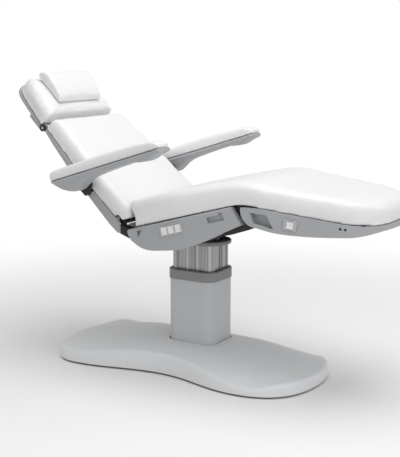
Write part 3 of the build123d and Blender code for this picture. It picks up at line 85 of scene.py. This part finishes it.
# Sky: even white light from all round. What the camera itself sees of it is the background's
# full white.
class Link:
    """A socket in a finish; sums and products with numbers or other links add Math nodes."""

    def __init__(self, finish, socket):
        self.finish = finish
        self.socket = socket

    def math(self, operation, other):
        return self.finish.node("ShaderNodeMath", {"operation": operation}, {0: self, 1: other})

    def __add__(self, other):
        return self.math("ADD", other)

    def __mul__(self, other):
        return self.math("MULTIPLY", other)

    __radd__ = __add__
    __rmul__ = __mul__


class Finish:
    """A node tree; node() adds a node by its type, settings, and its sockets' values or links."""

    def __init__(self, tree):
        self.tree = tree

    def node(self, kind, settings=None, sockets=None, out=0):
        made = self.tree.nodes.new(kind)
        for key, value in (settings or {}).items():
            setattr(made, key, value)
        self.feed(made, sockets or {})
        return Link(self, made.outputs[out])

    def feed(self, made, sockets):
        for key, value in sockets.items():
            if isinstance(value, Link):
                self.tree.links.new(value.socket, made.inputs[key])
            else:
                made.inputs[key].default_value = value


full_white = (1, 1, 1, 1)
sky_light = 0.52
world = bpy.data.worlds.new("sky")
world.use_nodes = True
world.node_tree.nodes.clear()
air = Finish(world.node_tree)
to_camera = air.node("ShaderNodeLightPath", out="Is Camera Ray")
lit = air.node("ShaderNodeBackground", {}, {"Color": full_white, "Strength": sky_light})
backdrop = air.node("ShaderNodeBackground", {}, {"Color": full_white, "Strength": 1.0})
sky = air.node("ShaderNodeMixShader", {}, {0: to_camera, 1: lit, 2: backdrop})
air.feed(world.node_tree.nodes.new("ShaderNodeOutputWorld"), {"Surface": sky})
scene.world = world


# Floor: a wide sheet of pale paper under the chair. Far from the chair it fades, for the
# camera alone, to the background's white.
def plain_finish(name, **constants):
    """A new material and its Principled shader, with constants on the shader's own sockets."""
    material = bpy.data.materials.new(name)
    material.use_nodes = True
    finish = Finish(material.node_tree)
    finish.material = material
    finish.shader = material.node_tree.nodes["Principled BSDF"]
    finish.feed(finish.shader, {key.replace("_", " "): value for key, value in constants.items()})
    return finish


paper_tone = (0.93, 0.93, 0.93, 1)
paper_reach = 30.0
fade_start, fade_end = 0.9, 2.9
paper = plain_finish("pale_paper", Base_Color=paper_tone, Roughness=0.8, Specular_IOR_Level=0.2)
place = paper.node("ShaderNodeTexCoord", out="Object")
away = paper.node("ShaderNodeVectorMath", {"operation": "LENGTH"}, {0: place}, out="Value")
far = paper.node(
    "ShaderNodeMapRange", {"interpolation_type": "SMOOTHSTEP"},
    {"Value": away, "From Min": fade_start, "From Max": fade_end},
)
to_camera = paper.node("ShaderNodeLightPath", out="Is Camera Ray")
glow = paper.node("ShaderNodeEmission", {}, {"Color": full_white, "Strength": 1.0})
sheet = Link(paper, paper.shader.outputs[0])
faded = paper.node("ShaderNodeMixShader", {}, {0: far * to_camera, 1: sheet, 2: glow})
paper.feed(paper.tree.nodes["Material Output"], {"Surface": faded})
paper_corners = [(x * paper_reach, y * paper_reach, 0) for x, y in ((-1, -1), (1, -1), (1, 1), (-1, 1))]
floor_mesh = bpy.data.meshes.new("floor")
floor_mesh.from_pydata(paper_corners, [], [(0, 1, 2, 3)])
floor_mesh.materials.append(paper.material)
floor = bpy.data.objects.new("floor", floor_mesh)
scene.collection.objects.link(floor)


# Base cover: a thick moulded plastic hood, sprayed satin grey, over the steel plate.
# The spray leaves a faint orange peel and a slightly uneven sheen.
def dress(finish, slot, *names):
    """Gives CAD nodes a finish on their own material slots."""
    for name in names:
        node = nodes[name]
        if not node.material_slots:
            node.data.materials.append(finish.material)
        for held in node.material_slots:
            held.material = finish.material


def two_tone(finish, mask, low, high):
    """A colour that goes from low, where mask is 0, to high, where it is 1."""
    tones = {"Factor": mask, "A": (*low, 1), "B": (*high, 1)}
    return finish.node("ShaderNodeMix", {"data_type": "RGBA"}, tones, out="Result")


def sprayed(name, tone, peel, rough):
    """Sprayed plastic or metal.

    peel is the bump strength of a ripple of a few millimetres. A slow drift from 0 to 1 takes
    the colour from 0.965 * tone to tone and the roughness from rough - 0.04 to rough + 0.04.
    """
    finish = plain_finish(name, IOR=1.46)
    at = finish.node("ShaderNodeTexCoord", out="Object")
    drift = finish.node("ShaderNodeTexNoise", {}, {"Vector": at, "Scale": 4.0, "Detail": 3.0})
    ripple = finish.node("ShaderNodeTexNoise", {}, {"Vector": at, "Scale": 420.0, "Detail": 2.0})
    colour = two_tone(finish, drift, [0.965 * part for part in tone], tone)
    sheen = drift * 0.08 + (rough - 0.04)
    bump = finish.node("ShaderNodeBump", {}, {"Strength": peel, "Distance": 0.0002, "Height": ripple})
    finish.feed(finish.shader, {"Base Color": colour, "Roughness": sheen, "Normal": bump})
    return finish


cover_paint = sprayed("cover_paint", (0.80, 0.81, 0.82), peel=0.25, rough=0.34)
dress(cover_paint, "grey_cover", "base_cover")

# Column: a steel tube sprayed a darker satin grey than the cover. Its flange is bolted to the
# steel plate under the cover.
column_paint = sprayed("column_paint", (0.56, 0.57, 0.58), peel=0.2, rough=0.34)
dress(column_paint, "column_paint", "column_outer")


# Shells: moulded plastic covers and trays under the cushions and arm rests. They come from a
# spark-eroded tool, which leaves a fine grain.
def moulded(name, tone, grain, rough, cells_per_metre=900.0):
    """Moulded plastic.

    grain is the bump strength of a fine cell pattern. A slow drift from 0 to 1 takes the
    colour from tone to a rubbed 1.05 * tone + 0.004 and the roughness from rough to rough + 0.1.
    """
    finish = plain_finish(name, IOR=1.49)
    at = finish.node("ShaderNodeTexCoord", out="Object")
    cells = finish.node(
        "ShaderNodeTexVoronoi", {"feature": "SMOOTH_F1"}, {"Vector": at, "Scale": cells_per_metre},
    )
    drift = finish.node("ShaderNodeTexNoise", {}, {"Vector": at, "Scale": 7.0, "Detail": 4.0})
    colour = two_tone(finish, drift, tone, [min(1.0, 1.05 * part + 0.004) for part in tone])
    sheen = rough + drift * 0.1
    bump = finish.node("ShaderNodeBump", {}, {"Strength": grain, "Distance": 0.00015, "Height": cells})
    finish.feed(finish.shader, {"Base Color": colour, "Roughness": sheen, "Normal": bump})
    return finish


shell_plastic = moulded("shell_plastic", (0.385, 0.395, 0.408), grain=0.35, rough=0.40)
dress(
    shell_plastic, "grey_shell", "seat_cover_right", "seat_cover_left", "leg_shell", "back_shell",
    "head_plate", "arm_shell_right", "arm_shell_left", "head_frame",
)

# Collar and cap: two darker grey mouldings, the collar round the mouth of the fixed column and
# the cap on the head of the sliding one.
collar_plastic = moulded("collar_plastic", (0.25, 0.252, 0.258), grain=0.3, rough=0.42)
dress(collar_plastic, "collar_grey", "column_collar", "column_cap")

# Black mouldings: the covers of the back hinge, the trough under the knee, the mains inlet,
# the column's guide and nut, and the control box, all in black grained plastic.
black_plastic = moulded("black_plastic", (0.016, 0.016, 0.018), grain=0.4, rough=0.5)
dress(
    black_plastic, "black_plastic", "rear_covers", "knee_trough", "mains_inlet", "column_guide",
    "lift_nut", "control_box",
)

# Foot pads: six round pads of black rubber under the steel plate, on threaded studs that level
# the chair.
foot_rubber = moulded("foot_rubber", (0.020, 0.020, 0.020), grain=0.5, rough=0.75, cells_per_metre=500.0)
dress(foot_rubber, "foot_rubber", "foot_pads")

# Frames and brackets: bar and sheet steel, cut, bent and welded, then sprayed black. Cushions
# and shells hide most of it.
black_paint = sprayed("black_paint", (0.022, 0.022, 0.024), peel=0.3, rough=0.45)
dress(
    black_paint, "black_steel", "base_plate", "lift_gear", "tilt_bracket", "tilt_actuator",
    "seat_frame", "seat_tray", "hinge_brackets", "knee_arms", "back_frame", "leg_frame",
    "arm_brackets",
)


# Inner column: a fluted aluminium section that slides in the fixed column. Its colour is
# painted in dark and bright bands along its length, a painted reflection of the studio; the
# same bands vary its roughness and bump like drawn lines.
def drawn_metal(name, tone, rough, stretch, dark=0.90):
    """Drawn or ground metal.

    A noise at stretch cycles per metre along each axis gives a fine grain; stretched along one
    axis with a low dark, it paints bands of reflection instead. Its middle part, 0.3 to 0.7,
    takes the colour from dark * tone to tone, and the roughness is rough + 0.12 times the noise.
    """
    finish = plain_finish(name, Metallic=1.0)
    at = finish.node("ShaderNodeTexCoord", out="Object")
    lines = finish.node("ShaderNodeMapping", {}, {"Vector": at, "Scale": stretch})
    grain_and_reflection = finish.node("ShaderNodeTexNoise", {}, {"Vector": lines, "Scale": 1.0, "Detail": 5.0})
    spread = finish.node("ShaderNodeMapRange", {}, {"Value": grain_and_reflection, "From Min": 0.3, "From Max": 0.7})
    colour = two_tone(finish, spread, [dark * part for part in tone], tone)
    sheen = rough + grain_and_reflection * 0.12
    bump = finish.node("ShaderNodeBump", {}, {"Strength": 0.15, "Distance": 0.0001, "Height": grain_and_reflection})
    finish.feed(finish.shader, {"Base Color": colour, "Roughness": sheen, "Normal": bump})
    return finish


# Painted reflection: bands from 0.45 * tone to tone, running up the column, stand in for the studio's
# reflections in the metal.
column_metal = drawn_metal(
    "column_metal", (0.58, 0.582, 0.59), rough=0.30, stretch=(95.0, 95.0, 0.5), dark=0.45,
)
dress(column_metal, "column_aluminium", "column_inner")

# Studs, bolts, spindle, rod and pin: steel, turned or ground bright, with a fine grain that
# is the same in every direction.
bright_steel = drawn_metal("bright_steel", (0.62, 0.63, 0.65), rough=0.22, stretch=(500.0, 500.0, 500.0))
dress(bright_steel, "steel", "foot_studs", "column_bolts", "lift_spindle", "tilt_rod", "tilt_pin")

# Keys: white rocker keys with hollowed faces, moulded smooth. They sit in pale grey bezels,
# three on the seat's side cover and one on the leg rest.
key_plastic = moulded("key_plastic", (0.80, 0.80, 0.80), grain=0.1, rough=0.26)
dress(key_plastic, "key_white", "seat_key_1", "seat_key_2", "seat_key_3", "leg_key")
bezel_plastic = moulded("bezel_plastic", (0.44, 0.445, 0.455), grain=0.2, rough=0.32)
dress(bezel_plastic, "panel_grey", "control_panel", "leg_panel")


# Cushions: moulded foam in smooth white artificial leather with a very fine pore grain.
# Each is puffed up by a short cloth simulation from a slightly smaller form, then held to
# within a few millimetres of it, so that it stays clear of the shells.
hide = plain_finish("white_hide", IOR=1.45, Sheen_Weight=0.08, Sheen_Roughness=0.5)
at = hide.node("ShaderNodeTexCoord", out="Object")
pores = hide.node("ShaderNodeTexVoronoi", {"feature": "F1"}, {"Vector": at, "Scale": 1100.0})
creases = hide.node(
    "ShaderNodeTexNoise", {}, {"Vector": at, "Scale": 260.0, "Detail": 4.0, "Roughness": 0.6},
)
cloudy = hide.node("ShaderNodeTexNoise", {}, {"Vector": at, "Scale": 5.0, "Detail": 3.0})
leather_white = two_tone(hide, cloudy, (0.80, 0.80, 0.802), (0.84, 0.84, 0.838))
leather_sheen = creases * 0.10 + 0.34
leather_grain = hide.node(
    "ShaderNodeBump", {}, {"Strength": 0.13, "Distance": 0.0002, "Height": pores * 0.6 + creases * 0.6},
)
hide.feed(hide.shader, {"Base Color": leather_white, "Roughness": leather_sheen, "Normal": leather_grain})


def joined_solids(names, lap):
    """One mesh of CAD nodes, each merged and grown by lap along its normals, so that neighbours join."""
    joined = bmesh.new()
    for name in names:
        part = bmesh.new()
        part.from_mesh(nodes[name].data)
        bmesh.ops.remove_doubles(part, verts=part.verts, dist=0.00002)
        bmesh.ops.recalc_face_normals(part, faces=part.faces)
        part.normal_update()
        for vert in part.verts:
            vert.co += vert.normal * lap
        mesh = bpy.data.meshes.new(name + "_copy")
        part.to_mesh(mesh)
        part.free()
        joined.from_mesh(mesh)
        bpy.data.meshes.remove(mesh)
    mesh = bpy.data.meshes.new("joined")
    joined.to_mesh(mesh)
    joined.free()
    return mesh


def points_of(mesh):
    """Vertex places and normals as arrays, one row each."""
    count = len(mesh.vertices)
    places = np.empty(3 * count, np.float32)
    normals = np.empty(3 * count, np.float32)
    mesh.vertices.foreach_get("co", places)
    mesh.vertex_normals.foreach_get("vector", normals)
    return places.reshape(-1, 3).astype(float), normals.reshape(-1, 3).astype(float)


def move_points(mesh, places):
    """Gives a mesh's vertices new places, one row each."""
    mesh.vertices.foreach_set("co", places.astype(np.float32).ravel())
    mesh.update()


def modify(piece, kind, **settings):
    """Adds a modifier of a kind to a piece, with its settings."""
    modifier = piece.modifiers.new(kind.lower(), kind)
    for key, value in settings.items():
        setattr(modifier, key, value)
    return modifier


def baked(piece):
    """Replaces a piece's mesh with the mesh its modifiers make, shaded smooth."""
    shown = piece.evaluated_get(bpy.context.evaluated_depsgraph_get())
    mesh = bpy.data.meshes.new_from_object(shown)
    piece.modifiers.clear()
    piece.data = mesh
    mesh.polygons.foreach_set("use_smooth", np.ones(len(mesh.polygons), bool))
    return mesh


def drawn_along(places, way, start, end, pull):
    """Moves one end of a pad along way by up to pull metres.

    With s = place . way and t = (s - start) / (end - start) held between 0 and 1, the place
    becomes place + way * pull * t^2 * (3 - 2 t).
    """
    part = np.clip((places @ way - start) / (end - start), 0.0, 1.0)
    return places + way * (pull * part * part * (3.0 - 2.0 * part))[:, None]


skin_lap = 0.0008
under_start, under_turn = 0.55, 0.35
puff_frames = 16


def upholster(name, solids, under, voxel, cap, soften, body=None, pulls=()):
    """A padded cover over CAD solids.

    The solids are remeshed in voxels and smoothed, and every point off the underside goes in
    by cap along its normal; cloth pressure then lifts it by at most cap:
    place = start + lift * min(1, cap / |lift|) * free. free is 1 off the underside and falls
    to 0 on it, as the normal turns to under. Each of the pulls, (way, start, end, pull), then
    draws an end of the pad along.
    """
    piece = bpy.data.objects.new(name, joined_solids(solids, skin_lap if len(solids) > 1 else 0.0))
    scene.collection.objects.link(piece)
    modify(piece, "REMESH", mode="VOXEL", voxel_size=voxel, use_smooth_shade=True)
    modify(piece, "SMOOTH", factor=0.5, iterations=soften)
    mesh = baked(piece)
    places, normals = points_of(mesh)
    facing = normals @ np.array(under)
    free = 1.0 - np.clip((facing - under_start) / under_turn, 0.0, 1.0)
    start = places - normals * (cap * free)[:, None]
    move_points(mesh, start)
    cloth = modify(piece, "CLOTH")
    cloth.settings.quality = 4
    cloth.settings.mass = 0.3
    cloth.settings.tension_stiffness = 12.0
    cloth.settings.compression_stiffness = 12.0
    cloth.settings.bending_stiffness = 2.0
    cloth.settings.use_pressure = True
    cloth.settings.uniform_pressure_force = 4.0
    cloth.settings.effector_weights.gravity = 0.0
    cloth.point_cache.frame_start = 1
    cloth.point_cache.frame_end = puff_frames
    for step in range(1, puff_frames + 1):
        scene.frame_set(step)
    puffed = piece.evaluated_get(bpy.context.evaluated_depsgraph_get())
    lift = points_of(puffed.data)[0] - start
    piece.modifiers.clear()
    scene.frame_set(1)
    length = np.maximum(np.linalg.norm(lift, axis=1), 1e-9)
    held = start + lift * (np.minimum(1.0, cap / length) * free)[:, None]
    for way, first, last, pull in pulls:
        held = drawn_along(held, np.array(way), first, last, pull)
    move_points(mesh, held)
    modify(piece, "SMOOTH", factor=0.5, iterations=4)
    modify(piece, "SUBSURF", levels=1, render_levels=1)
    mesh = baked(piece)
    mesh.materials.clear()
    mesh.materials.append(hide.material)
    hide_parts(*solids)
    if body:
        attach(piece, body)
    return piece


# Seat and leg cushion: one long pad from the back rest's hinge to the foot end, made as one
# rigid piece, though the real one bends at the knee when the leg rest swings. Its rear end
# lies on the back rest's nose.
long_pad = upholster(
    "seat_leg_pad", ("seat_cushion", "knee_cushion", "leg_cushion"), under=(0, 0, -1),
    voxel=0.0095, cap=0.006, soften=6, pulls=[((-1.0, 0.0, 0.0), 0.09, 0.17, 0.004)],
)
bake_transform(long_pad)

# Back cushion: its lower end is a round nose that turns in the seat cushion's hollow; its upper
# end is full and lies against the head rest.
back_slope = math.radians(41)
back_up = np.array((math.sin(back_slope), 0, math.cos(back_slope)))
back_way = np.array((-math.cos(back_slope), 0, math.sin(back_slope)))
upholster(
    "back_pad", ("back_cushion",), under=-back_up, voxel=0.009, cap=0.006, soften=5,
    body="back", pulls=[(back_way, 0.98, 1.08, 0.016), (-back_way, -0.64, -0.55, -0.012)],
)

# Head rest: a deep soft cushion on a plate of its own, and a loose D-shaped pillow that lies
# on it. The cushion's lower end is drawn in, which leaves the crease to the back cushion.
head_slope = math.radians(45)
head_up = np.array((math.sin(head_slope), 0, math.cos(head_slope)))
head_foot = np.array((math.cos(head_slope), 0, -math.sin(head_slope)))
upholster(
    "head_pad", ("head_cushion",), under=-head_up, voxel=0.008, cap=0.006, soften=4,
    body="head", pulls=[(head_foot, -1.20, -1.10, -0.015)],
)
upholster(
    "head_pillow", ("pillow",), under=-head_up, voxel=0.0065, cap=0.005, soften=4, body="head",
)

# Wedge: a small block of hard foam behind the seat cushion, covered in the same leather. It
# closes the gap to the back rest.
dress(hide, "white_leather", "seat_wedge")

# Arm shells: slim moulded trays under the arm pads, a straight strip along the seam with a
# drawn-in body under it, deep at the pivot and with a small grip near the front. Two per chair.
arm_slope = math.radians(17.3)
arm_way = np.array((math.cos(arm_slope), 0.0, math.sin(arm_slope)))
arm_rise = np.array((-math.sin(arm_slope), 0.0, math.cos(arm_slope)))
arm_out = np.array((0.0, 1.0, 0.0))
arm_pivot = np.array((-0.347003, 0.0, 0.758092))
arm_aside = 0.355
arm_seam = 0.0476
arm_rear, arm_front = -0.0998, 0.4192
arm_half = 0.0445
tray_corner = 0.006
strip_deep = 0.017

# (share of the length from the rear end, depth under the seam in millimetres)
arm_depth = np.array([
    (0.0, 8), (0.026, 24), (0.068, 44), (0.12, 57), (0.17, 65), (0.205, 64), (0.248, 52),
    (0.291, 41), (0.342, 33), (0.41, 29.5), (0.513, 26), (0.684, 23), (0.75, 22.5), (0.80, 30),
    (0.855, 34), (0.889, 32), (0.932, 24.5), (0.983, 20), (1.0, 18.5),
])

# One side of a section, from the seam to the bottom: how far it is drawn in from the side in
# metres, the shares of the strip and of the body under it that are passed, and a step down.
tray_side = np.array([
    (0.0, 0.0, 0.0, 0.0),
    (0.0, 0.6, 0.0, 0.0),
    (0.0006, 1.0, 0.0, -0.0006),
    (0.0045, 1.0, 0.0, 0.0004),
    (0.0055, 1.0, 0.45, 0.0),
    (0.009, 1.0, 0.85, 0.0),
    (0.016, 1.0, 1.0, 0.0),
])


def tray_depth(shares):
    """Depth in metres: arm_depth between its stations, averaged over 17 steps of 1/400 of the length."""
    fine = np.linspace(0.0, 1.0, 401)
    padded = np.pad(np.interp(fine, arm_depth[:, 0], arm_depth[:, 1]), 8, mode="edge")
    window = np.hanning(19)[1:-1] / 9.0
    return np.interp(shares, fine, np.convolve(padded, window, "valid")) / 1000.0


def arm_tray(side):
    """Sections of the tray at stations u along it, closed at both ends on a pole.

    A section runs down one side, over the bottom and up the other, with corners at
    (half - drawn - inset, -(of_strip * strip + of_body * body + step)). Within tray_corner r
    of an end, at distance d, it is drawn in by r - sqrt(r^2 - (r - d)^2), a quarter circle,
    and its bottom rises by as much.
    """
    length = arm_front - arm_rear
    ends = tray_corner * (1.0 - np.cos(np.linspace(0.0, math.pi / 2, 5)))
    stations = np.concatenate([ends, np.linspace(0.010, length - 0.010, 64), length - ends[::-1]])
    near = np.minimum(np.minimum(stations, length - stations), tray_corner)
    drawn = tray_corner - np.sqrt(np.maximum(tray_corner**2 - (tray_corner - near) ** 2, 0.0))
    depth = tray_depth(stations / length)
    strip = np.minimum(strip_deep, 0.72 * depth)
    inset, of_strip, of_body, step = tray_side.T
    half = (arm_half - drawn)[:, None] - inset
    deep = of_strip * strip[:, None] + of_body * (depth - strip)[:, None] + step
    deep = np.maximum(deep - drawn[:, None] * np.linspace(0.0, 1.0, len(tray_side)), 0.0)
    floor_half, floor_deep = 0.3 * half[:, -1:], deep[:, -1:]
    across = np.concatenate([half, floor_half, -floor_half, -half[:, ::-1]], axis=1)
    down = np.concatenate([deep, floor_deep, floor_deep, deep[:, ::-1]], axis=1)
    grid = (
        arm_pivot + arm_way * (arm_rear + stations)[:, None, None]
        + arm_rise * (arm_seam - down)[:, :, None] + arm_out * (across + arm_aside * side)[:, :, None]
    )
    poles = grid[[0, -1]].mean(axis=1)
    rings, around = across.shape
    here = np.arange(around)
    after = (here + 1) % around
    ring = around * np.arange(rings - 1)[:, None]
    quads = np.stack([ring + here, ring + after, ring + after + around, ring + here + around], axis=-1)
    rear_pole, front_pole, front_ring = rings * around, rings * around + 1, (rings - 1) * around
    rear_fan = np.stack([np.full(around, rear_pole), after, here], axis=-1)
    front_fan = np.stack([np.full(around, front_pole), front_ring + here, front_ring + after], axis=-1)
    faces = quads.reshape(-1, 4).tolist() + rear_fan.tolist() + front_fan.tolist()
    return np.vstack([grid.reshape(-1, 3), poles]).tolist(), faces


for hand, side in (("right", -1), ("left", 1)):
    corners, faces = arm_tray(side)
    mesh = bpy.data.meshes.new("arm_tray_" + hand)
    mesh.from_pydata(corners, [], faces)
    shell = bmesh.new()
    shell.from_mesh(mesh)
    bmesh.ops.recalc_face_normals(shell, faces=shell.faces)
    shell.to_mesh(mesh)
    shell.free()
    mesh.materials.append(shell_plastic.material)
    tray = bpy.data.objects.new("arm_tray_" + hand, mesh)
    scene.collection.objects.link(tray)
    modify(tray, "SUBSURF", levels=1, render_levels=1)
    baked(tray)
    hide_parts("arm_shell_" + hand)
    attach(tray, "arm_" + hand)

# Arm pads: long narrow pads, rounded at both ends, in the cushions' leather. They are glued to
# the arm shells.
for hand in ("right", "left"):
    upholster(
        "arm_rest_pad_" + hand, ("arm_pad_" + hand,), under=(0, 0, -1), voxel=0.0055, cap=0.003,
        soften=4, body="arm_" + hand,
    )
